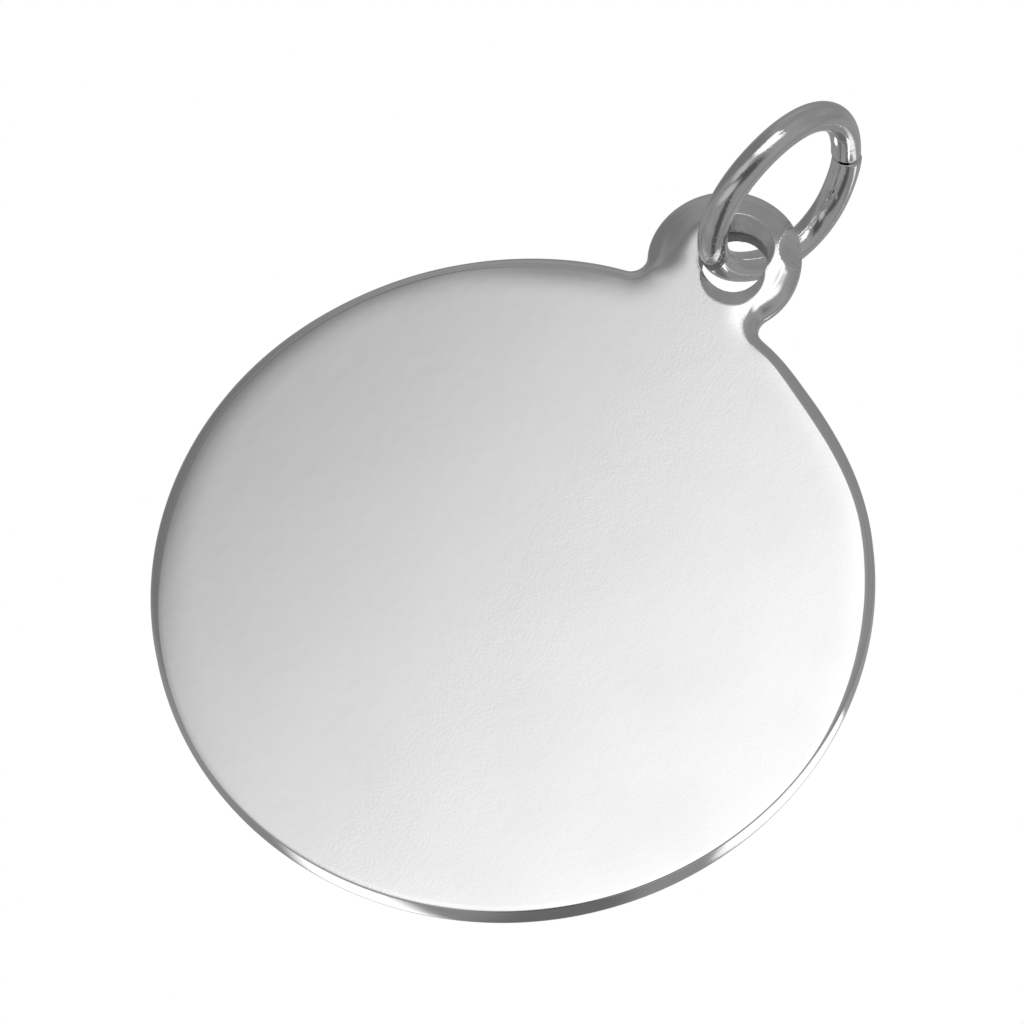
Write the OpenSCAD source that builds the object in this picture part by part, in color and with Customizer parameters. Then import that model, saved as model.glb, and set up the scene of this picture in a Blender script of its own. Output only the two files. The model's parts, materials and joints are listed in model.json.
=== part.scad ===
// Round silver pendant: a polished disc with a drilled ear, hanging from a cut jump ring.
// The origin is the top of the ring's opening, where a chain or a bail carries it.
// +Z points up, the disc hangs below, and its face looks along -Y.

/* [Disc] */
// Diameter of the round disc
disc_d = 19; // [15:0.5:25]
// Thickness of the sheet that the disc and its ear are stamped from
sheet_t = 0.95; // [0.8:0.05:1.5]
// Rounding that stamping and polishing leave along both rims
edge_r = 0.3; // [0.1:0.02:0.36]

/* [Ear] */
// Width of the round ear on top of the disc
ear_d = 4; // [3.6:0.1:5]
// How far the middle of the ear lies outside the rim of the disc
ear_out = 1.45; // [1:0.05:1.8]
// Radius of the hollow corner on each side, where the ear meets the disc
neck_r = 0.5; // [0.4:0.05:0.8]

/* [Hole] */
// Diameter of the hole in the ear
hole_d = 1.8; // [1.7:0.05:2.2]
// How far to the right of the ear's middle the hole is drilled
hole_side = 0.28; // [0:0.02:0.34]
// Depth of the dish that polishing leaves in each face round the hole
dish_depth = 0.3; // [0.2:0.02:0.34]
// Length of that dish along the ear
dish_l = 2.8; // [2.6:0.05:3]
// Width of that dish across the ear
dish_w = 1.9; // [1.8:0.05:2.3]

/* [Jump ring] */
// Outer diameter of the jump ring
ring_od = 5.6; // [5.2:0.1:8]
// Diameter of the ring's round wire
wire_d = 0.8; // [0.6:0.05:0.85]
// Width of the saw cut where the ring's two ends meet
cut_w = 0.06; // [0.02:0.01:0.2]
// Where the cut is, in degrees round the ring from the hole, by way of the back
cut_at = 145; // [60:1:300]
// Room between the wire and the wall of the hole that it lies against
wire_room = 0.13; // [0.1:0.01:0.2]
// Where that wall is, in degrees round the hole from its right, by way of its top
wire_side = 203; // [160:1:240]
// How far the ring leans to the right, in degrees
ring_lean = 14; // [0:1:16]
// How far the ring is turned on its upright line, in degrees
ring_turn = 8; // [0:1:10]
// How far the ring is tipped to the front, in degrees
ring_tip = 12; // [0:1:14]

/* [Hidden] */
$fn = 96;

disc_r = disc_d / 2;
ear_r = ear_d / 2;
hole_r = hole_d / 2;
wire_r = wire_d / 2;
ring_r = ring_od / 2 - wire_r;
// How far the cutting shapes reach past what they cut
past = 1;

// Middle of the wire in the hole: below the origin, which is the top of the ring's opening
opening_h = 2 * ring_r - wire_r;
wire_x = opening_h * (sin(ring_tip) * sin(ring_turn) * cos(ring_lean) - cos(ring_tip) * sin(ring_lean));
wire_y = opening_h * sin(ring_tip) * cos(ring_turn);
wire_z = -opening_h * (sin(ring_tip) * sin(ring_turn) * sin(ring_lean) + cos(ring_tip) * cos(ring_lean));

// Middles of the ear and the disc, which put the wire near the chosen wall of the hole
wire_off = hole_r - wire_r - wire_room;
ear_x = wire_x - wire_off * cos(wire_side) - hole_side;
ear_z = wire_z - wire_off * sin(wire_side);
disc_z = ear_z - ear_out - disc_r;

// How deep the hollow corner's circle dips into the rims of the disc and the ear
neck_dip = 0.01;
// Middle of the hollow corner, which meets the disc and the ear from outside
ear_up = ear_z - disc_z;
reach_disc = disc_r + neck_r - neck_dip;
reach_ear = ear_r + neck_r - neck_dip;
neck_up = (reach_disc * reach_disc - reach_ear * reach_ear + ear_up * ear_up) / (2 * ear_up);
neck_x = sqrt(reach_disc * reach_disc - neck_up * neck_up);

// Rings of a dish: the tube rounds it across the ear, the outer radius along the ear
function arc_r(half, depth) = (half * half + depth * depth) / (2 * depth);
dish_tube = arc_r(dish_w / 2, dish_depth);
dish_out = arc_r(dish_l / 2, dish_depth);

// Half of the section of a round plate with both rims rounded
module plate_section(r) {
    translate([0, -sheet_t / 2]) square([r - edge_r, sheet_t]);
    translate([0, edge_r - sheet_t / 2]) square([r, sheet_t - 2 * edge_r]);
    for (side = [-1, 1])
        translate([r - edge_r, side * (sheet_t / 2 - edge_r)]) circle(edge_r);
}

// Round plate with rounded rims, its middle at the given height
module plate(r, up) {
    translate([0, up, 0]) rotate_extrude() plate_section(r);
}

// Section of the shape that hollows a corner and leaves its rims rounded
module corner_section() {
    difference() {
        translate([0, -sheet_t / 2 - past]) square([neck_r + edge_r, sheet_t + 2 * past]);
        translate([neck_r, edge_r - sheet_t / 2]) square([2 * edge_r, sheet_t - 2 * edge_r]);
        for (side = [-1, 1])
            translate([neck_r + edge_r, side * (sheet_t / 2 - edge_r)]) circle(edge_r);
    }
}

// Web that joins the ear to the disc, with a hollow corner on each side
module neck() {
    corner = [neck_x, neck_up];
    in_disc = corner * (disc_r - 2 * edge_r) / reach_disc;
    to_ear = [0, ear_up] - corner;
    in_ear = corner + to_ear * (neck_r + 2 * edge_r) / reach_ear;
    outline = [
        in_disc, corner, in_ear,
        [-in_ear[0], in_ear[1]], [-corner[0], corner[1]], [-in_disc[0], in_disc[1]]
    ];
    difference() {
        translate([0, 0, -sheet_t / 2]) linear_extrude(sheet_t) polygon(outline);
        for (side = [-1, 1])
            translate([side * neck_x, neck_up, 0]) rotate_extrude() corner_section();
    }
}

// Shape of a dish: the outside of a fat ring that dips into the face
module dish() {
    translate([0, 0, sheet_t / 2 - dish_depth + dish_out])
        rotate([0, -90, 0])
            rotate_extrude()
                intersection() {
                    translate([dish_out - dish_tube, 0]) circle(dish_tube);
                    translate([dish_out - 2 * dish_depth, -dish_w])
                        square([3 * dish_depth, 2 * dish_w]);
                }
}

// Shape that the hole and its dish on each face take away
module hole_cut() {
    translate([hole_side, ear_up, 0]) {
        cylinder(h = sheet_t + 2 * past, r = hole_r, center = true);
        for (face = [0, 180])
            rotate([0, face, 0]) dish();
    }
}

// Disc and ear in one piece, drawn flat with the face up and the disc's middle at zero
module disc_flat() {
    difference() {
        plate(disc_r, 0);
        hole_cut();
    }
    difference() {
        union() {
            plate(ear_r, ear_up);
            neck();
        }
        hole_cut();
    }
}

// Stamped disc with its ear, hanging upright with its face to the front
module disc_with_ear() {
    color("silver")
        translate([ear_x, wire_y, disc_z]) rotate([90, 0, 0]) disc_flat();
}

// Ring of round wire through the hole, cut through once
module jump_ring() {
    cut_angle = 2 * asin(cut_w / (2 * ring_r));
    color("gainsboro")
        translate([wire_x, wire_y, wire_z])
            rotate([0, ring_lean, 0])
                rotate([ring_tip, 0, -ring_turn])
                    translate([0, 0, ring_r])
                        rotate([0, 90, 0])
                            rotate([0, 0, cut_at + cut_angle / 2])
                                rotate_extrude(angle = 360 - cut_angle)
                                    translate([ring_r, 0]) circle(wire_r);
}

disc_with_ear();
jump_ring();
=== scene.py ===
"""Looks of a round silver pendant: a polished disc with a drilled ear on a cut jump ring.

Every mesh is modelled in millimetres in the part's own frame and brought to metres at the end.
+Z is up, the disc's face looks along -Y, and the origin is the top of the ring's opening.
"""

import json
import logging
import random
from dataclasses import dataclass, field
from enum import Enum
from math import atan2, cos, hypot, pi, radians, sin, sqrt, tau

import bmesh
import bpy
from bmesh.types import BMEdge, BMesh, BMFace, BMVert
from bpy.types import Material, Node, NodeSocket, NodeTree, Object
from mathutils import Matrix, Vector


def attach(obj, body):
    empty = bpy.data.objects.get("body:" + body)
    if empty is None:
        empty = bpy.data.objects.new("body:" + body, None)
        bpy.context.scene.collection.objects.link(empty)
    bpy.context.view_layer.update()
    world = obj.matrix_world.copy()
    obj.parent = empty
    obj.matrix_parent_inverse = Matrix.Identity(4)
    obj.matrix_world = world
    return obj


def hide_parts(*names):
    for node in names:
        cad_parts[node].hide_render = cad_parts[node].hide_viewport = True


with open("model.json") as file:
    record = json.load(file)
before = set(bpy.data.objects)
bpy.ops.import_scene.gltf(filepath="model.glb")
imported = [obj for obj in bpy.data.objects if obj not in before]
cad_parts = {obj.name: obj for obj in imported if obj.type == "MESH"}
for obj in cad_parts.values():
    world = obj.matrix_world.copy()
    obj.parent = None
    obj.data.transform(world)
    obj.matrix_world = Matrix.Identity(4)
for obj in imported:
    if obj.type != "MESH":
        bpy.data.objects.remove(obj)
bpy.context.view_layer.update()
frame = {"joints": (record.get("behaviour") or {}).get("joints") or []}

LOG = logging.getLogger("pendant")
METRES = 0.001
ORIGIN = Vector((0.0, 0.0, 0.0))
RIGHT = Vector((1.0, 0.0, 0.0))
INTO = Vector((0.0, 1.0, 0.0))
UP = Vector((0.0, 0.0, 1.0))
# Millimetres within which two places count as one, and radians for two directions
NEAR = 0.001
TURN_NEAR = 0.0001
# Between which values a noise mostly lies
NOISE_LOW = 0.3
NOISE_HIGH = 0.7

Section = list[BMVert | BMEdge]


class Body(Enum):
    """The part's bodies, by the names that the frame gives them."""

    DISC = "disc"
    RING = "ring"


class Finish(Enum):
    """The disc's finishes, by the numbers that its faces carry."""

    FACE = 0
    BORE = 1
    DISHES = 2


def linear(hex_colour: str) -> tuple[float, float, float, float]:
    """Turn an sRGB hex colour into linear values.

    Args:
        hex_colour: The colour as "#RRGGBB".

    Returns:
        Linear red, green and blue, and an alpha of one.
    """
    shades = [int(hex_colour[i : i + 2], 16) / 255 for i in (1, 3, 5)]
    low = [s / 12.92 if s <= 0.04045 else ((s + 0.055) / 1.055) ** 2.4 for s in shades]
    return (low[0], low[1], low[2], 1.0)


def per_metre(feature_mm: float) -> float:
    """Return the texture scale at which one feature of a pattern is that many millimetres."""
    return 1.0 / (feature_mm * METRES)


def add_node(tree: NodeTree, kind: str, settings: dict[str | int, object] | None = None,
             links: dict[str | int, NodeSocket] | None = None) -> Node:
    """Add a node with its settings and links.

    Args:
        tree: The node tree that gets the node.
        kind: Blender's name of the node type.
        settings: Values by attribute name, or by input name or number.
        links: Output sockets by the name or number of the input that they feed.

    Returns:
        The new node.
    """
    node = tree.nodes.new(kind)
    for name, value in (settings or {}).items():
        if isinstance(name, str) and hasattr(node, name):
            setattr(node, name, value)
        else:
            node.inputs[name].default_value = value
    for name, socket in (links or {}).items():
        tree.links.new(socket, node.inputs[name])
    return node


def direction(azimuth: float, elevation: float) -> Vector:
    """Return the way from the pendant to a light or camera.

    Args:
        azimuth: Degrees from the front, growing to the right.
        elevation: Degrees above the level.

    Returns:
        A unit vector in the part's frame.
    """
    flat = cos(radians(elevation))
    turn = radians(azimuth)
    return Vector((flat * sin(turn), -flat * cos(turn), sin(radians(elevation))))


def start_material(name: str) -> tuple[Material, NodeTree]:
    """Start a material.

    Args:
        name: The material's name.

    Returns:
        The material and its empty node tree.
    """
    material = bpy.data.materials.new(name)
    material.use_nodes = True
    material.node_tree.nodes.clear()
    return material, material.node_tree


def start_glow(name: str) -> tuple[Material, NodeTree, NodeSocket]:
    """Start a material that glows white.

    Args:
        name: The material's name.

    Returns:
        The material, its node tree, and the input that takes its strength.
    """
    material, tree = start_material(name)
    shader = add_node(tree, "ShaderNodeEmission")
    add_node(tree, "ShaderNodeOutputMaterial", links={"Surface": shader.outputs[0]})
    return material, tree, shader.inputs["Strength"]


def read_place(tree: NodeTree) -> NodeSocket:
    """Return a socket with the place on the object."""
    return add_node(tree, "ShaderNodeTexCoord").outputs["Object"]


def combine(tree: NodeTree, operation: str, first: NodeSocket, second: NodeSocket) -> NodeSocket:
    """Return a socket with the result of a math operation on two others."""
    return add_node(tree, "ShaderNodeMath", {"operation": operation},
                    {0: first, 1: second}).outputs[0]


def add_noise(tree: NodeTree, place: NodeSocket, feature_mm: float, detail: float,
              roughness: float) -> NodeSocket:
    """Add a noise over a surface.

    Args:
        tree: The material's node tree.
        place: The place on the object.
        feature_mm: The size of the noise's features.
        detail: How many finer layers it has.
        roughness: How strong the finer layers are.

    Returns:
        The noise's value.
    """
    return add_node(tree, "ShaderNodeTexNoise", {
        "Scale": per_metre(feature_mm), "Detail": detail, "Roughness": roughness,
    }, {"Vector": place}).outputs["Fac"]


def add_relief(tree: NodeTree, height: NodeSocket, depth_mm: float,
               under: NodeSocket | None = None) -> NodeSocket:
    """Add relief to a surface.

    Args:
        tree: The material's node tree.
        height: The relief's height as a share of its depth.
        depth_mm: How deep it is.
        under: The normal of the relief that it lies on, if there is one.

    Returns:
        The normal of both.
    """
    links = {"Height": height}
    if under:
        links["Normal"] = under
    return add_node(tree, "ShaderNodeBump", {
        "Strength": 1.0, "Distance": depth_mm * METRES,
    }, links).outputs["Normal"]


def vary(tree: NodeTree, noise: NodeSocket, mean: float, share: float) -> NodeSocket:
    """Vary a value with a noise.

    Args:
        tree: The node tree.
        noise: The noise's value.
        mean: The value's mean.
        share: How far it goes to each side of the mean, as a share of it.

    Returns:
        The value.
    """
    return add_node(tree, "ShaderNodeMapRange", {
        "From Min": NOISE_LOW, "From Max": NOISE_HIGH,
        "To Min": mean * (1 - share), "To Max": mean * (1 + share),
    }, {"Value": noise}).outputs["Result"]


def ease_along(tree: NodeTree, along: NodeSocket, start: tuple[float, float],
               end: tuple[float, float]) -> NodeSocket:
    """Ease a value from one place to another.

    Args:
        tree: The material's node tree.
        along: The place on one axis of the object.
        start: Where the change starts, in millimetres, and the value up to there.
        end: Where it ends, and the value from there on.

    Returns:
        The value.
    """
    return add_node(tree, "ShaderNodeMapRange", {
        "interpolation_type": "SMOOTHSTEP",
        "From Min": start[0] * METRES, "From Max": end[0] * METRES,
        "To Min": start[1], "To Max": end[1],
    }, {"Value": along}).outputs["Result"]


def end_metal(tree: NodeTree, colour: str, normal: NodeSocket, rough: NodeSocket) -> None:
    """Close a metal's node tree with its shader.

    Args:
        tree: The material's node tree.
        colour: The metal's colour as sRGB hex.
        normal: The normal of its relief.
        rough: Its roughness.
    """
    shader = add_node(tree, "ShaderNodeBsdfPrincipled", {
        "Base Color": linear(colour), "Metallic": 1.0,
    }, {"Normal": normal, "Roughness": rough})
    add_node(tree, "ShaderNodeOutputMaterial", links={"Surface": shader.outputs["BSDF"]})


def smooth_step(value: float, start: float, end: float) -> float:
    """Return how far value has come from start to end, eased at both ends, from 0 to 1."""
    share = min(1.0, max(0.0, (value - start) / (end - start)))
    return share * share * (3 - 2 * share)


@dataclass(frozen=True)
class BuffedSheet:
    """Sterling silver sheet, rolled, stamped and buffed on a wheel.

    To the eye it is a bright neutral mirror, softened by a faint orange peel all over and by a
    finer grain where the wheel has passed less often: from grain_from to the right, in
    millimetres from the origin, strongest at grain_peak and less again from grain_to on.
    grain_before and grain_after are its shares of that strength on the left and on the right.
    uneven is the share by which the roughness varies.
    """

    name: str = "sterling_sheet_buffed"
    colour: str = "#F1F1F1"
    roughness: float = 0.13
    uneven: float = 0.2
    grain_mm: float = 0.075
    grain_depth_mm: float = 0.00098
    grain_from: float = -2.6
    grain_peak: float = -0.3
    grain_to: float = 3.6
    grain_before: float = 0.05
    grain_after: float = 0.66
    peel_mm: float = 0.45
    peel_depth_mm: float = 0.0008
    wave_mm: float = 2.6
    wave_depth_mm: float = 0.0022

    def make(self) -> Material:
        """Build the material.

        Returns:
            The material, reading Object coordinates.
        """
        material, tree = start_material(self.name)
        place = read_place(tree)
        across = add_node(tree, "ShaderNodeSeparateXYZ", links={0: place}).outputs["X"]
        rise = ease_along(tree, across, (self.grain_from, self.grain_before),
                          (self.grain_peak, 1.0))
        fall = ease_along(tree, across, (self.grain_peak, 1.0),
                          (self.grain_to, self.grain_after))
        waves = add_noise(tree, place, self.wave_mm, detail=1.0, roughness=0.4)
        peel = add_noise(tree, place, self.peel_mm, detail=1.0, roughness=0.5)
        grain = add_noise(tree, place, self.grain_mm, detail=1.5, roughness=0.6)
        grain = combine(tree, "MULTIPLY", grain, combine(tree, "MULTIPLY", rise, fall))
        wavy = add_relief(tree, waves, self.wave_depth_mm)
        peeled = add_relief(tree, peel, self.peel_depth_mm, wavy)
        grained = add_relief(tree, grain, self.grain_depth_mm, peeled)
        end_metal(tree, self.colour, grained, vary(tree, waves, self.roughness, self.uneven))
        return material


@dataclass(frozen=True)
class DrilledBore:
    """The wall of the drilled hole, which no buffing wheel reaches.

    To the eye it is a dull darker grey with fine rings that the drill has left. Its colour is
    darker than the sheet's partly for a little tarnish and partly as painted shade in the hole.
    ring_shape is the rings' fineness to the right, into the sheet and upwards, as shares.
    """

    name: str = "sterling_bore_tarnish_and_shade"
    # Darker than the sheet: a little tarnish, and painted shade of the hole's recess
    colour: str = "#A9A9A9"
    roughness: float = 0.34
    uneven: float = 0.3
    ring_mm: float = 0.07
    ring_depth_mm: float = 0.012
    ring_shape: tuple[float, float, float] = (0.2, 1.0, 0.2)

    def make(self) -> Material:
        """Build the material.

        Returns:
            The material, reading Object coordinates.
        """
        material, tree = start_material(self.name)
        stretched = add_node(tree, "ShaderNodeMapping", {"Scale": self.ring_shape},
                             {"Vector": read_place(tree)})
        rings = add_noise(tree, stretched.outputs["Vector"], self.ring_mm, detail=2.0,
                          roughness=0.6)
        ringed = add_relief(tree, rings, self.ring_depth_mm)
        end_metal(tree, self.colour, ringed, vary(tree, rings, self.roughness, self.uneven))
        return material


@dataclass(frozen=True)
class DrawnWire:
    """Sterling silver wire, drawn, wound, sawn and tumbled bright.

    To the eye it is a near mirror, slightly uneven along its length, with small nicks, which
    start where their noise reaches nick_from and are whole at nick_whole. Below rub_from, in
    millimetres from the origin, the hole has rubbed it and the nicks are deeper, rub_share times
    as deep from rub_fade further down.
    """

    name: str = "sterling_wire_tumbled"
    colour: str = "#F1F1F1"
    roughness: float = 0.06
    uneven: float = 0.4
    dent_mm: float = 0.8
    dent_depth_mm: float = 0.007
    nick_mm: float = 0.16
    nick_depth_mm: float = 0.0015
    nick_from: float = 0.56
    nick_whole: float = 0.7
    rub_from: float = -4.1
    rub_fade: float = 0.3
    rub_share: float = 5.0

    def make(self) -> Material:
        """Build the material.

        Returns:
            The material, reading Object coordinates.
        """
        material, tree = start_material(self.name)
        place = read_place(tree)
        dents = add_noise(tree, place, self.dent_mm, detail=1.0, roughness=0.4)
        nicks = add_noise(tree, place, self.nick_mm, detail=2.0, roughness=0.6)
        few = add_node(tree, "ShaderNodeMapRange", {
            "From Min": self.nick_from, "From Max": self.nick_whole,
        }, {"Value": nicks})
        rise = add_node(tree, "ShaderNodeSeparateXYZ", links={0: place})
        rubbed = add_node(tree, "ShaderNodeMapRange", {
            "From Min": self.rub_from * METRES,
            "From Max": (self.rub_from - self.rub_fade) * METRES,
            "To Min": 1.0, "To Max": self.rub_share,
        }, {"Value": rise.outputs["Z"]})
        marks = combine(tree, "MULTIPLY", few.outputs["Result"], rubbed.outputs["Result"])
        dented = add_relief(tree, dents, self.dent_depth_mm)
        nicked = add_relief(tree, marks, self.nick_depth_mm, dented)
        end_metal(tree, self.colour, nicked, vary(tree, dents, self.roughness, self.uneven))
        return material


def make_piece(name: str, bm: BMesh, *materials: Material) -> Object:
    """Bring a modelled mesh to metres and make it an object.

    Args:
        name: The piece's name.
        bm: The mesh in millimetres, freed here.
        materials: The piece's finishes, in the order of its faces' material numbers.

    Returns:
        The object, at the origin.
    """
    bmesh.ops.scale(bm, vec=(METRES, METRES, METRES), verts=bm.verts)
    for face in bm.faces:
        face.smooth = True
    mesh = bpy.data.meshes.new(name)
    bm.to_mesh(mesh)
    bm.free()
    for material in materials:
        mesh.materials.append(material)
    piece = bpy.data.objects.new(name, mesh)
    bpy.context.scene.collection.objects.link(piece)
    return piece


def pull(bm: BMesh, vert: BMVert, way: Vector) -> BMVert:
    """Extrude a vertex into an edge.

    Args:
        bm: The mesh.
        vert: The vertex that is extruded.
        way: Where the new vertex goes from it.

    Returns:
        The edge's new end.
    """
    made = bmesh.ops.extrude_vert_indiv(bm, verts=[vert])
    bmesh.ops.translate(bm, verts=made["verts"], vec=way)
    return made["verts"][0]


def spin(bm: BMesh, geom: Section, centre: Vector, axis: Vector, angle: float, steps: int,
         merge: bool = False) -> Section:
    """Spin vertices and edges round an axis, which leaves edges and faces behind them.

    Args:
        bm: The mesh.
        geom: The vertices and edges.
        centre: A place on the axis.
        axis: The axis that they turn about.
        angle: How far they turn, in radians.
        steps: How many steps they take.
        merge: Whether a full turn is closed where it started.

    Returns:
        The vertices and edges where the spin ends.
    """
    made = bmesh.ops.spin(bm, geom=geom, cent=centre, axis=axis, angle=angle, steps=steps,
                          dvec=ORIGIN, use_merge=merge, use_normal_flip=False,
                          use_duplicate=False)
    return [g for g in made["geom_last"] if isinstance(g, (BMVert, BMEdge))]


def swing(bm: BMesh, vert: BMVert, centre: Vector, angle: float, steps: int) -> BMVert:
    """Spin a vertex about an upright axis into an arc of edges, and return the last vertex."""
    arc_end = spin(bm, [vert], centre, UP, angle, steps)
    return next(g for g in arc_end if isinstance(g, BMVert))


def cut_faces(bm: BMesh, faces: list[BMFace], spot: Vector, normal: Vector) -> list[BMFace]:
    """Cut faces along a plane, taking nothing away.

    Args:
        bm: The mesh.
        faces: The faces that may be cut.
        spot: A place on the plane.
        normal: The plane's normal.

    Returns:
        All faces of that patch after the cut.
    """
    geom = list(dict.fromkeys(g for f in faces for g in (f, *f.edges, *f.verts)))
    made = bmesh.ops.bisect_plane(bm, geom=geom, dist=NEAR / 2, plane_co=spot, plane_no=normal,
                                  clear_inner=False, clear_outer=False)
    return [g for g in made["geom"] if isinstance(g, BMFace)]


@dataclass(frozen=True)
class Wear:
    """A spot where stamping, buffing and rubbing have worn the plate more or less than elsewhere.

    right and up place it from the middle of the disc. It is whole up to core from there and ends
    at reach. roll is the share that it adds to the width of the rolled edge, drop is how far the
    face sinks towards the outline, and bulge is how far the outline goes out. Sizes are
    millimetres.
    """

    right: float
    up: float
    core: float
    reach: float
    roll: float = 0.0
    drop: float = 0.0
    bulge: float = 0.0

    def share(self, arm: Vector) -> float:
        """Return how much of this wear there is at a place from the disc's middle, 0 to 1."""
        off = hypot(arm.x - self.right, arm.z - self.up)
        return smooth_step(self.reach - off, 0.0, self.reach - self.core)


@dataclass(frozen=True)
class Dish:
    """A round hollow that the ring has rubbed into the face beside the hole.

    right and up place its middle from the hole's, and slope is how fast it deepens inwards from
    its edge. Sizes are millimetres.
    """

    right: float
    up: float
    radius: float
    slope: float

    def reach(self, way: Vector) -> float:
        """Return how far the dish's edge lies from the middle of the hole, in a direction."""
        along = self.right * way.x + self.up * way.z
        return along + sqrt(self.radius**2 - self.right**2 - self.up**2 + along**2)


def take_in(bm: BMesh, other: BMesh) -> None:
    """Add another mesh's shape to a mesh.

    Args:
        bm: The mesh that gets the shape.
        other: The other mesh, freed here.
    """
    carrier = bpy.data.meshes.new("carrier")
    other.to_mesh(carrier)
    other.free()
    bm.from_mesh(carrier)
    bpy.data.meshes.remove(carrier)


@dataclass
class PendantDisc:
    """The stamped disc with its ear, from the crowned face to the dish round the hole.

    All sizes are millimetres. hole is the middle of the hole, which the part's hinge gives. The
    disc is modelled with the middle of its sheet at Y zero, and moved back at the end.

    Towards the outline the face sinks by crown_drop over crown_w, and its shoulder by edge_ease
    more. Wear deepens the rolled edge by the share roll_most at most. The ear's face is a net of
    squares of ear_net, net_span ear radii wide, of which the share net_lead lies below and to the
    left of the ear's middle. The hole's lip is torn by up to burr_mean of burr, burr_lean of it
    more on the left and less on the right, and smooth again one burr_fade-th of the way out.
    facet_edge is the facet's inner edge, as heights and places to the right from the ear's
    middle. It is scored from score_from to the right, with score_room below it, and ground from
    grind_from. facet_stop is what the facet leaves of the half sheet.
    """

    hole: Vector
    disc_d: float = 19.0
    sheet_t: float = 0.95
    roll_w: float = 0.3
    roll_most: float = 0.4
    roll_steps: int = 12
    flat_w: float = 0.04
    crown_w: float = 1.1
    crown_drop: float = 0.008
    edge_ease: float = 0.03
    crown_steps: int = 10
    wear: tuple[Wear, ...] = (
        Wear(right=4.4, up=-7.9, core=8.2, reach=13.6, roll=-0.88),
        Wear(right=-9.2, up=-2.5, core=3.0, reach=9.0, drop=0.006),
        Wear(right=-3.4, up=8.9, core=0.0, reach=3.6, roll=0.4, drop=0.035),
        Wear(right=4.4, up=8.4, core=0.0, reach=3.6, roll=0.35, drop=0.01),
        Wear(right=4.8, up=8.2, core=0.0, reach=3.6, bulge=-0.06),
        Wear(right=-2.9, up=9.1, core=0.0, reach=4.0, bulge=0.11),
        Wear(right=2.1, up=9.6, core=0.3, reach=2.2, bulge=0.07),
        Wear(right=-7.8, up=-5.4, core=0.0, reach=4.0, roll=-0.22),
        Wear(right=-8.0, up=5.1, core=0.0, reach=4.0, bulge=-0.03),
        Wear(right=-1.2, up=12.3, core=1.5, reach=2.8, roll=0.3, drop=0.21),
        Wear(right=2.1, up=10.6, core=0.5, reach=1.9, roll=0.3, drop=0.13),
    )
    ear_d: float = 4.0
    ear_out: float = 1.45
    ear_net: float = 0.1
    net_span: float = 2.6
    net_lead: float = 0.6
    neck_r: float = 0.5
    hole_d: float = 1.8
    hole_side: float = 0.28
    hole_break: float = 0.04
    break_steps: int = 4
    dishes: tuple[Dish, ...] = (
        Dish(right=-0.11, up=0.31, radius=1.02, slope=0.64),
        Dish(right=0.23, up=-0.46, radius=0.87, slope=0.42),
    )
    dish_metal: BuffedSheet = BuffedSheet("sterling_sheet_rubbed", roughness=0.24, peel_mm=0.16,
                                          peel_depth_mm=0.006)
    dish_least: float = 0.02
    dish_steps: int = 10
    back_share: float = 0.2
    burr: float = 0.04
    burr_mean: float = 0.6
    burr_lean: float = 0.4
    burr_fade: float = 6.0
    burr_seed: int = 7
    facet_edge: tuple[tuple[float, float], ...] = (
        (-1.3, 1.62), (-1.0, 1.71), (-0.7, 1.72), (-0.14, 1.68), (0.3, 1.6), (0.5, 1.45),
        (0.7, 1.23), (0.97, 1.08), (1.25, 1.01), (1.5, 1.0), (1.8, 1.04),
    )
    facet_slope: float = 0.72
    facet_arris: float = 0.035
    facet_stop: float = 0.01
    score_from: float = 0.9
    score_room: float = 0.2
    grind_from: float = 0.8
    disc_steps: int = 332
    ear_steps: int = 110
    neck_steps: int = 22
    weld: float = 0.0008

    def __post_init__(self) -> None:
        """Work out the middles of the ear, the disc and the hollow corners."""
        self.disc_r = self.disc_d / 2
        self.ear_r = self.ear_d / 2
        self.hole_r = self.hole_d / 2
        self.half = self.sheet_t / 2
        self.rim_w = self.roll_w + self.flat_w
        self.flat_r = self.disc_r - self.rim_w
        self.back_off = self.hole.y
        self.hole = Vector((self.hole.x, 0.0, self.hole.z))
        self.ear = self.hole - self.hole_side * RIGHT
        self.middle = self.ear - (self.ear_out + self.disc_r) * UP
        self.centre = self.middle + self.back_off * INTO
        reach_disc = self.disc_r + self.neck_r
        reach_ear = self.ear_r + self.neck_r
        ear_up = self.ear_out + self.disc_r
        up = (reach_disc**2 - reach_ear**2 + ear_up**2) / (2 * ear_up)
        side = sqrt(reach_disc**2 - up**2)
        self.corners = {s: self.middle + s * side * RIGHT + up * UP for s in (-1, 1)}
        self.disc_tip = atan2(up, side)
        self.ear_tip = atan2(up - ear_up, side)

    def draw_section(self, bm: BMesh) -> Section:
        """Draw the front half of the disc's section, from its middle to the side of its rim.

        Args:
            bm: The empty mesh that gets the section, standing where the sweep starts.

        Returns:
            The section's vertices and edges.
        """
        vert = bmesh.ops.create_vert(bm, co=-self.half * INTO)["vert"][0]
        vert = pull(bm, vert, (self.flat_r - self.crown_w) * RIGHT)
        for _ in range(self.crown_steps):
            vert = pull(bm, vert, self.crown_w / self.crown_steps * RIGHT)
        vert = pull(bm, vert, self.flat_w * RIGHT)
        centre = vert.co + self.roll_w * INTO
        vert = swing(bm, vert, centre, pi / 2, self.roll_steps)
        pull(bm, vert, -vert.co.y * INTO)
        bmesh.ops.rotate(bm, verts=bm.verts, cent=ORIGIN,
                         matrix=Matrix.Rotation(-self.disc_tip, 3, INTO))
        bmesh.ops.translate(bm, verts=bm.verts, vec=self.middle)
        return [*bm.verts, *bm.edges]

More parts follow.
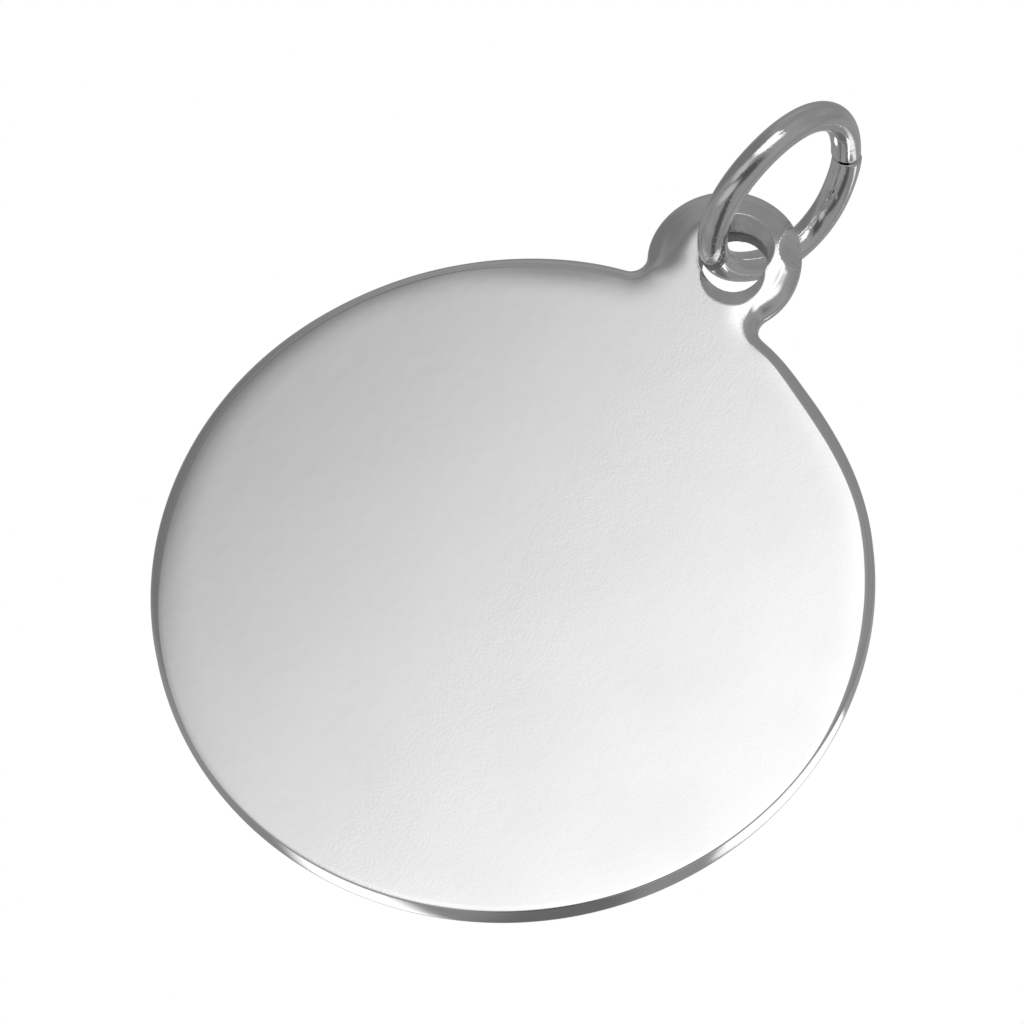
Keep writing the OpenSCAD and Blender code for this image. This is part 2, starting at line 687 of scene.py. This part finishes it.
    def split(self, section: Section, outer: bool) -> Section:
        """Part a section where the crowned face ends.

        Args:
            section: The section's vertices and edges.
            outer: Whether the rim is wanted, or else the face.

        Returns:
            The vertices and edges of that side.
        """
        def belongs(vert: BMVert) -> bool:
            beyond = (vert.co - self.middle + self.half * INTO).length - self.flat_r
            return beyond > -NEAR if outer else beyond < NEAR

        return [g for g in section
                if all(map(belongs, g.verts if isinstance(g, BMEdge) else [g]))]

    def build_plate(self, bm: BMesh) -> None:
        """Sweep the section round the disc, and its rim on round both corners and the ear.

        Args:
            bm: The empty mesh that gets the front half of the plate.
        """
        section = self.draw_section(bm)
        section = spin(bm, section, self.middle, INTO, pi + 2 * self.disc_tip, self.disc_steps)
        rim = self.split(section, outer=True)
        spin(bm, self.split(section, outer=False), self.middle, INTO, pi - 2 * self.disc_tip,
             self.neck_steps)
        corner_turn = self.disc_tip - self.ear_tip
        rim = spin(bm, rim, self.corners[-1], INTO, -corner_turn, self.neck_steps)
        rim = spin(bm, rim, self.ear, INTO, pi - 2 * self.ear_tip, self.ear_steps)
        spin(bm, rim, self.corners[1], INTO, -corner_turn, self.neck_steps)
        bmesh.ops.remove_doubles(bm, verts=bm.verts, dist=2 * NEAR)

    def read_outline(self, spot: Vector) -> tuple[float, Vector]:
        """Find a place's part of the outline: the disc's, a hollow corner's or the ear's.

        Args:
            spot: The place.

        Returns:
            How deep it lies inside the outline, and the way out.
        """
        spot = Vector((spot.x, 0.0, spot.z))
        arm = spot - self.middle
        ear_arm = spot - self.ear
        side = 1 if arm.x > 0 else -1
        if atan2(arm.z, side * arm.x) <= self.disc_tip + TURN_NEAR:
            return self.disc_r - arm.length, arm.normalized()
        if atan2(ear_arm.z, side * ear_arm.x) >= self.ear_tip - TURN_NEAR:
            return self.ear_r - ear_arm.length, ear_arm.normalized()
        corner_arm = self.corners[side] - spot
        return corner_arm.length - self.neck_r, corner_arm.normalized()

    def wear_plate(self, bm: BMesh, front: bool) -> None:
        """Wear half of the disc: its face crowned, its edges rolled unevenly.

        Args:
            bm: The half, facing the front.
            front: Whether it becomes the disc's front, where some spots are rolled less.
        """
        for vert in bm.verts:
            depth, out = self.read_outline(vert.co)
            if depth > self.crown_w:
                continue
            shares = [(w, w.share(vert.co - self.middle)) for w in self.wear]
            roll = sum(share * w.roll for w, share in shares)
            roll = roll if front else max(roll, 0.0)
            drop = self.crown_drop + sum(share * w.drop for w, share in shares)
            bulge = sum(share * w.bulge for w, share in shares)
            fade = min(1.0, (self.crown_w - depth) / (self.crown_w - self.rim_w))
            below = self.half + vert.co.y
            if depth < self.rim_w and below < self.roll_w + NEAR:
                vert.co.y += min(roll, self.roll_most) * below
            outwards = 1 - depth / self.crown_w
            ease = self.edge_ease * min(1 + roll, 1.0)
            vert.co.y *= 1 - (drop * outwards**2 + ease * outwards**4) / self.half
            vert.co += out * (bulge * fade - roll * min(depth, self.rim_w * fade))

    def cover_ear(self, bm: BMesh) -> None:
        """Close the ear's face between the rims and the hole with a net that wear can bend.

        Args:
            bm: The mesh with the plate's rims and the hole.
        """
        loops = [e for e in bm.edges if e.is_boundary
                 and all(v.co.y < -self.half + NEAR for v in e.verts)]
        made = bmesh.ops.triangle_fill(bm, use_beauty=True, use_dissolve=False, edges=loops,
                                       normal=-INTO)
        faces = [g for g in made["geom"] if isinstance(g, BMFace)]
        count = round(self.net_span * self.ear_r / self.ear_net)
        for way in (RIGHT, UP):
            for step in range(count + 1):
                spot = self.ear + (step - count * self.net_lead) * self.ear_net * way
                faces = cut_faces(bm, faces, spot, way)

    def read_facet(self, spot: Vector) -> float:
        """Measure how far outside the facet's inner edge a place on the ear lies.

        Args:
            spot: The place.

        Returns:
            The distance, less than zero inside.
        """
        up = spot.z - self.ear.z
        ends = list(zip(self.facet_edge, self.facet_edge[1:]))
        (low, start), (high, end) = next((p for p in ends if up < p[1][0]), ends[-1])
        lean = (end - start) / (high - low)
        return (spot.x - self.ear.x - start - lean * (up - low)) / hypot(1.0, lean)

    def score_facet(self, bm: BMesh) -> None:
        """Draw the facet's inner edge into the face, as three close lines.

        Args:
            bm: The mesh, still flat.
        """
        left = self.ear.x + self.score_from
        bottom = self.ear.z + self.facet_edge[0][0] - self.score_room
        patch = [f for f in bm.faces if all(
            v.co.x > left and v.co.z > bottom and v.co.y < -self.score_room for v in f.verts)]
        for (low, start), (high, end) in zip(self.facet_edge, self.facet_edge[1:]):
            foot = self.ear + start * RIGHT + low * UP
            along = Vector((end - start, 0.0, high - low))
            patch = cut_faces(bm, patch, foot, UP)
            patch = cut_faces(bm, patch, foot + along, UP)
            row = [f for f in patch if foot.z < f.calc_center_median().z < foot.z + along.z]
            patch = [f for f in patch if f not in set(row)]
            normal = along.normalized().cross(INTO)
            for side in (-1, 0, 1):
                spot = foot + side * self.facet_arris * normal
                row = cut_faces(bm, row, spot, normal)

    def grind_facet(self, bm: BMesh) -> None:
        """Grind the ear's upper right edge, as a file has left it.

        Args:
            bm: The front half of the disc.
        """
        foot = self.facet_edge[0][0]
        for vert in bm.verts:
            arm = vert.co - self.ear
            if arm.x < self.grind_from or arm.z < foot or vert.co.y > -self.facet_stop:
                continue
            out = self.read_facet(vert.co) + self.facet_arris
            if out > 0.0:
                soft = out * out / (out + 2 * self.facet_arris)
                ground = max(vert.co.y, -self.half + self.facet_slope * soft)
                vert.co.y = min(ground, -self.facet_stop)

    def draw_hole(self, bm: BMesh) -> None:
        """Spin the front half of the hole round the origin, its lip and a flat ring outside it.

        Args:
            bm: The empty mesh that gets the hole.
        """
        lip = self.hole_r + self.hole_break
        start = Vector((2 * lip + self.flat_w, -self.half, 0.0))
        vert = bmesh.ops.create_vert(bm, co=start)["vert"][0]
        vert = pull(bm, vert, -self.flat_w * RIGHT)
        for _ in range(self.dish_steps):
            vert = pull(bm, vert, -lip / self.dish_steps * RIGHT)
        vert = swing(bm, vert, vert.co + self.hole_break * INTO, -pi / 2, self.break_steps)
        pull(bm, vert, -vert.co.y * INTO)
        spin(bm, [*bm.verts, *bm.edges], ORIGIN, INTO, tau, self.ear_steps, merge=True)

    def build_hole(self, bm: BMesh, depth: float) -> None:
        """Model the front half of the hole, with the dishes round it and its torn lip.

        Args:
            bm: The empty mesh that gets the hole.
            depth: The share of their depth that the dishes get.
        """
        self.draw_hole(bm)
        lip = self.hole_r + self.hole_break
        rng = random.Random(self.burr_seed)
        burrs = [rng.uniform(-1.0, 1.0) ** 3 for _ in range(self.ear_steps)]
        for vert in bm.verts:
            if vert.co.y > -NEAR:
                continue
            reach = hypot(vert.co.x, vert.co.z)
            way = Vector((vert.co.x, 0.0, vert.co.z)).normalized()
            edge = max(lip + self.dish_least, *(d.reach(way) for d in self.dishes))
            share = max(0.0, (reach - lip) / lip)
            new = min(reach, lip) + min(share, 1.0) * (edge - lip)
            deep = depth * max(0.0, *(d.slope * (d.reach(way) - new) for d in self.dishes))
            torn = self.burr * (1 - min(share * self.burr_fade, 1.0))
            torn *= self.burr_mean - self.burr_lean * way.x
            turn = round(atan2(way.z, way.x) / tau * self.ear_steps)
            if share > 1 + NEAR:
                new += self.flat_w
            vert.co.x = new * way.x
            vert.co.z = new * way.z
            vert.co.y += deep + torn * burrs[turn % self.ear_steps]
        for face in bm.faces:
            spot = face.calc_center_median()
            bored = hypot(spot.x, spot.z) < self.hole_r + NEAR
            face.material_index = (Finish.BORE if bored else Finish.DISHES).value
        bmesh.ops.translate(bm, verts=bm.verts, vec=self.hole)

    def build_half(self, front: bool) -> BMesh:
        """Model the front half of the disc, or the back half, which has no facet.

        Args:
            front: Whether the facet is ground and the dishes get their whole depth.

        Returns:
            The half, open at Y zero.
        """
        bm = bmesh.new()
        self.build_plate(bm)
        hole = bmesh.new()
        self.build_hole(hole, 1.0 if front else self.back_share)
        take_in(bm, hole)
        self.cover_ear(bm)
        self.score_facet(bm)
        self.wear_plate(bm, front)
        if front:
            self.grind_facet(bm)
        else:
            bmesh.ops.scale(bm, verts=bm.verts, vec=(1, -1, 1))
        return bm

    def build(self) -> BMesh:
        """Model the whole disc.

        Returns:
            The closed mesh, in millimetres.
        """
        bm = self.build_half(front=True)
        take_in(bm, self.build_half(front=False))
        bmesh.ops.remove_doubles(bm, verts=bm.verts, dist=self.weld)
        bmesh.ops.recalc_face_normals(bm, faces=bm.faces)
        bmesh.ops.translate(bm, verts=bm.verts, vec=self.back_off * INTO)
        return bm

    def dress(self) -> Object:
        """Make the piece and hang it in the frame.

        Returns:
            The finished piece.
        """
        finishes = {
            Finish.FACE: BuffedSheet(),
            Finish.BORE: DrilledBore(),
            Finish.DISHES: self.dish_metal,
        }
        piece = make_piece("pendant_disc", self.build(), *(finishes[f].make() for f in Finish))
        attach(piece, Body.DISC.value)
        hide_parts("disc_with_ear")
        return piece


@dataclass
class JumpRing:
    """The ring of round wire, with the saw cut where its ends meet.

    Sizes are millimetres, and angles are degrees. Opening and closing have bent the ring a little
    out of round: bends has the sine and cosine shares of its radius for two and three lobes, and
    cut_step is how far its lower end stands out and to the side at the cut, eased over the last
    step_turn radians. cut_break is the width of the broken edges at the cut, where faces meet at
    more than sharp_from. lift is how much higher the bent ring hangs, so that its wire clears the
    hole's lip.
    """

    ring_od: float = 5.6
    wire_d: float = 0.8
    cut_w: float = 0.12
    cut_at: float = 149.5
    cut_step: tuple[float, float] = (0.02, 0.03)
    step_turn: float = 0.5
    cut_break: float = 0.03
    break_steps: int = 3
    sharp_from: float = 40.0
    lean: float = 14.0
    turn: float = 8.0
    tip: float = 12.0
    lift: float = 0.05
    bends: tuple[tuple[float, float], ...] = ((-0.022, -0.014), (-0.041, 0.0))
    ring_steps: int = 260
    wire_steps: int = 48

    def __post_init__(self) -> None:
        """Work out the radius of the wire's middle line."""
        self.ring_r = (self.ring_od - self.wire_d) / 2

    def place(self) -> Matrix:
        """Work out how the ring hangs.

        Returns:
            The matrix that stands the ring in the hole, leaning and turned.
        """
        tilt = (Matrix.Rotation(radians(self.lean), 4, "Y")
                @ Matrix.Rotation(-radians(self.turn), 4, "Z")
                @ Matrix.Rotation(radians(self.tip), 4, "X"))
        drop = self.wire_d / 2 - self.ring_r + self.lift
        return tilt @ Matrix.Translation((0.0, 0.0, drop))

    def bend(self, bm: BMesh) -> None:
        """Bend the round ring as its pliers have, leaving the middle of the wire in the hole.

        Args:
            bm: The ring, upright round the origin, with the hole's wire at its foot.
        """
        for vert in bm.verts:
            around = atan2(vert.co.y, -vert.co.z)
            swell = sum(sine * sin(lobes * around) + cosine * (cos(lobes * around) - 1)
                        for lobes, (sine, cosine) in enumerate(self.bends, start=2))
            way = Vector((0.0, sin(around), -cos(around)))
            before = radians(self.cut_at) - around
            step = 1 - smooth_step(before, 0.0, self.step_turn) if before > 0 else 0.0
            vert.co += (self.ring_r * swell + step * self.cut_step[0]) * way
            vert.co += step * self.cut_step[1] * RIGHT

    def build(self) -> BMesh:
        """Model the ring.

        Returns:
            The closed mesh, in millimetres.
        """
        gap = self.cut_w / self.ring_r
        bm = bmesh.new()
        bmesh.ops.create_circle(bm, cap_ends=False, segments=self.wire_steps,
                                radius=self.wire_d / 2)
        for axis in ("Y", "Z"):
            bmesh.ops.rotate(bm, verts=bm.verts, cent=ORIGIN,
                             matrix=Matrix.Rotation(pi / 2, 3, axis))
        bmesh.ops.translate(bm, verts=bm.verts, vec=-self.ring_r * UP)
        bmesh.ops.rotate(bm, verts=bm.verts, cent=ORIGIN,
                         matrix=Matrix.Rotation(radians(self.cut_at) + gap / 2, 3, "X"))
        spin(bm, [*bm.verts, *bm.edges], ORIGIN, RIGHT, tau - gap, self.ring_steps)
        ends = [e for e in bm.edges if e.is_boundary]
        bmesh.ops.holes_fill(bm, edges=ends, sides=self.wire_steps)
        bmesh.ops.recalc_face_normals(bm, faces=bm.faces)
        self.bend(bm)
        bmesh.ops.transform(bm, matrix=self.place(), verts=bm.verts)
        return bm

    def dress(self) -> Object:
        """Make the piece and hang it in the frame.

        Returns:
            The finished piece.
        """
        piece = make_piece("jump_ring_wire", self.build(), DrawnWire().make())
        bevel = piece.modifiers.new("broken_edges", "BEVEL")
        bevel.width = self.cut_break * METRES
        bevel.segments = self.break_steps
        bevel.limit_method = "ANGLE"
        bevel.angle_limit = radians(self.sharp_from)
        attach(piece, Body.RING.value)
        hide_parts("jump_ring")
        return piece


def make_panel(width: float, height: float) -> BMesh:
    """Model an upright panel across the way that the disc faces.

    Args:
        width: How wide it is, in millimetres.
        height: How high it is.

    Returns:
        The mesh, with its middle at the origin.
    """
    bm = bmesh.new()
    bmesh.ops.create_grid(bm, x_segments=1, y_segments=1, size=0.5)
    bmesh.ops.rotate(bm, verts=bm.verts, cent=ORIGIN, matrix=Matrix.Rotation(pi / 2, 3, "X"))
    bmesh.ops.scale(bm, verts=bm.verts, vec=(width, 1, height))
    return bm


@dataclass(frozen=True)
class Glow:
    """One soft patch of the studio's surroundings, an ellipse round a direction.

    azimuth and elevation point to its middle. It reaches length to each side along a line that
    rises to the right by turn, and width across it, all in degrees. It fades over fade of its
    size, and light is its strength, where one is white.
    """

    azimuth: float
    elevation: float
    turn: float
    length: float
    width: float
    fade: float
    light: float

    def paint(self, tree: NodeTree, way: NodeSocket, under: NodeSocket) -> NodeSocket:
        """Paint the patch over the light that is there.

        Args:
            tree: The world's node tree.
            way: The direction that is looked in.
            under: The light under the patch.

        Returns:
            The light of both.
        """
        middle = direction(self.azimuth, self.elevation)
        level = Vector((cos(radians(self.azimuth)), sin(radians(self.azimuth)), 0.0))
        along = Matrix.Rotation(-radians(self.turn), 3, middle) @ level
        turned = Matrix((middle, along, middle.cross(along))).transposed()
        spot = add_node(tree, "ShaderNodeMapping", {
            "vector_type": "TEXTURE", "Location": middle, "Rotation": turned.to_euler(),
            "Scale": (1.0, sin(radians(self.length)), sin(radians(self.width))),
        }, {"Vector": way})
        off = add_node(tree, "ShaderNodeVectorMath", {"operation": "LENGTH"},
                       {0: spot.outputs[0]})
        share = add_node(tree, "ShaderNodeMapRange", {
            "interpolation_type": "SMOOTHSTEP",
            "From Min": 1 + self.fade, "From Max": 1 - self.fade,
        }, {"Value": off.outputs["Value"]})
        return add_node(tree, "ShaderNodeMix", {"data_type": "FLOAT", 3: self.light},
                        {0: share.outputs["Result"], 2: under}).outputs[0]


@dataclass(frozen=True)
class SoftBox:
    """A graded panel in front of the pendant. Sizes are millimetres.

    shades gives its light along a line that rises to the right by slant degrees, as pairs of a
    place and a strength.
    """

    depth: float = 150.0
    left: float = -100.0
    right: float = 22.0
    foot: float = 6.0
    top: float = 86.0
    slant: float = -9.4
    shades: tuple[tuple[float, float], ...] = (
        (-100.0, 0.17), (-82.0, 0.2), (-65.0, 0.49), (-39.5, 1.17), (-20.0, 1.25), (22.0, 1.2),
    )

    def shade(self, tree: NodeTree) -> NodeSocket:
        """Grade the panel's light along its slanted line.

        Args:
            tree: The panel's node tree.

        Returns:
            The light's strength.
        """
        slant = radians(self.slant)
        along = add_node(tree, "ShaderNodeVectorMath", {
            "operation": "DOT_PRODUCT", 1: (cos(slant), 0.0, sin(slant)),
        }, {0: read_place(tree)})
        light = None
        for (start, low), (end, high) in zip(self.shades, self.shades[1:]):
            part = add_node(tree, "ShaderNodeMapRange", {
                "From Min": start * METRES, "From Max": end * METRES,
                "To Min": 0.0 if light else low, "To Max": high - low if light else high,
            }, {"Value": along.outputs["Value"]}).outputs[0]
            light = combine(tree, "ADD", light, part) if light else part
        return light


@dataclass
class Studio:
    """Camera, pale floor and soft light. The light is what the polished metal shows.

    Sizes are millimetres, and angles are degrees. room is the light between the patches, which
    varies by the share room_change.
    """

    camera_azimuth: float = 16.932
    camera_elevation: float = -19.714
    camera_roll: float = 33.1
    camera_away: float = 475.0
    camera_lens: float = 637.6
    camera_near: float = 0.01
    aim_right: float = -0.02
    aim_up: float = 2.006
    floor_z: float = -230.0
    floor_w: float = 3000.0
    floor_colour: str = "#EFEFEF"
    floor_rough: float = 0.9
    room: float = 0.285
    room_change: float = 0.13
    room_scale: float = 1.6
    glows: tuple[Glow, ...] = (
        Glow(-75.0, 12.0, 0.0, 55.0, 22.0, 0.4, 0.19),
        Glow(28.0, -20.0, -15.0, 34.0, 13.0, 0.35, 0.09),
        Glow(85.0, -55.0, 0.0, 50.0, 14.0, 0.4, 0.09),
        Glow(165.0, -18.0, -30.0, 18.0, 9.0, 0.4, 0.15),
        Glow(-15.0, -12.0, 0.0, 20.0, 12.0, 0.5, 0.5),
        Glow(-6.0, -40.0, -12.0, 28.0, 11.0, 0.35, 0.5),
        Glow(13.0, 11.0, -16.0, 24.0, 10.0, 0.35, 1.2),
        Glow(139.0, -8.0, 90.0, 13.0, 5.0, 0.4, 1.0),
        Glow(-168.0, -20.0, 0.0, 9.0, 9.0, 0.3, 1.3),
    )
    soft_box: SoftBox = field(default_factory=SoftBox)
    card: Vector = field(default_factory=lambda: Vector((15.9, 20.0, -12.0)))
    card_w: float = 4.0
    card_h: float = 14.0
    card_turn: float = -18.0
    card_light: float = 1.3

    def set_camera(self, middle: Vector) -> None:
        """Stand the camera where the photograph was taken from.

        Args:
            middle: The middle of the disc, in millimetres.
        """
        back = direction(self.camera_azimuth, self.camera_elevation)
        level = UP.cross(back).normalized()
        turned = Matrix.Rotation(radians(self.camera_roll), 3, back)
        side = turned @ level
        top = back.cross(side)
        spot = middle + self.aim_right * side + self.aim_up * top + self.camera_away * back
        data = bpy.data.cameras.new("photo_camera")
        data.lens = self.camera_lens
        data.clip_start = self.camera_near
        camera = bpy.data.objects.new("photo_camera", data)
        turn = Matrix((side, top, back)).transposed().to_4x4()
        camera.matrix_world = Matrix.Translation(spot * METRES) @ turn
        bpy.context.scene.collection.objects.link(camera)
        bpy.context.scene.camera = camera

    def lay_floor(self) -> None:
        """Lay the plain pale floor, which the metal doesn't reflect."""
        bm = bmesh.new()
        bmesh.ops.create_grid(bm, x_segments=1, y_segments=1, size=self.floor_w / 2)
        bmesh.ops.translate(bm, verts=bm.verts, vec=self.floor_z * UP)
        material = bpy.data.materials.new("painted_board")
        material.use_nodes = True
        shader = material.node_tree.nodes["Principled BSDF"]
        shader.inputs["Base Color"].default_value = linear(self.floor_colour)
        shader.inputs["Roughness"].default_value = self.floor_rough
        floor = make_piece("floor", bm, material)
        floor.visible_glossy = False

    def light_room(self) -> None:
        """Build the surroundings: white to camera and floor, and graded patches to the metal."""
        world = bpy.data.worlds.new("light_tent")
        bpy.context.scene.world = world
        world.use_nodes = True
        tree = world.node_tree
        tree.nodes.clear()
        way = add_node(tree, "ShaderNodeTexCoord").outputs["Generated"]
        walls = add_node(tree, "ShaderNodeTexNoise", {"Scale": self.room_scale, "Detail": 1.0},
                         {"Vector": way})
        light = vary(tree, walls.outputs["Fac"], self.room, self.room_change)
        for glow in self.glows:
            light = glow.paint(tree, way, light)
        path = add_node(tree, "ShaderNodeLightPath")
        plain = combine(tree, "MAXIMUM", path.outputs["Is Camera Ray"],
                        path.outputs["Is Diffuse Ray"])
        seen = add_node(tree, "ShaderNodeMix", {"data_type": "FLOAT", 3: 1.0},
                        {0: plain, 2: light})
        shader = add_node(tree, "ShaderNodeBackground", {"Color": linear("#FFFFFF")},
                          {"Strength": seen.outputs[0]})
        add_node(tree, "ShaderNodeOutputWorld", links={"Surface": shader.outputs[0]})

    def hang_soft_box(self) -> None:
        """Hang the graded panel that the disc's face mirrors. The camera looks through it."""
        box = self.soft_box
        bm = make_panel(box.right - box.left, box.top - box.foot)
        bmesh.ops.translate(bm, verts=bm.verts, vec=Vector((
            (box.right + box.left) / 2, -box.depth, (box.top + box.foot) / 2)))
        material, tree, strength = start_glow("graded_diffuser")
        tree.links.new(box.shade(tree), strength)
        panel = make_piece("soft_box", bm, material)
        panel.visible_camera = False
        panel.visible_shadow = False

    def hang_card(self) -> None:
        """Hang the small bright card behind the pendant, which its lower right side mirrors."""
        bm = make_panel(self.card_w, self.card_h)
        bmesh.ops.rotate(bm, verts=bm.verts, cent=ORIGIN,
                         matrix=Matrix.Rotation(radians(self.card_turn), 3, INTO))
        bmesh.ops.translate(bm, verts=bm.verts, vec=self.card)
        material, _, strength = start_glow("white_card")
        strength.default_value = self.card_light
        card = make_piece("back_card", bm, material)
        card.visible_camera = False
        card.visible_shadow = False

    def set_up(self, middle: Vector) -> None:
        """Set up the camera, floor and lights.

        Args:
            middle: The middle of the disc, in millimetres.
        """
        self.set_camera(middle)
        self.lay_floor()
        self.light_room()
        self.hang_soft_box()
        self.hang_card()
        bpy.context.scene.view_settings.view_transform = "Standard"


def hinge_point() -> Vector:
    """Return the middle of the hole, in millimetres, which the part's only joint turns about."""
    joint = frame["joints"][0]
    return Vector(joint["pos_m"]) / METRES


def main() -> None:
    """Build the studio and both pieces."""
    logging.basicConfig(level=logging.INFO, format="%(name)s: %(message)s")
    disc = PendantDisc(hinge_point())
    ring = JumpRing()
    Studio().set_up(disc.centre)
    for part in (disc, ring):
        piece = part.dress()
        LOG.info("%s: %d faces", piece.name, len(piece.data.polygons))


if __name__ == "__main__":
    main()
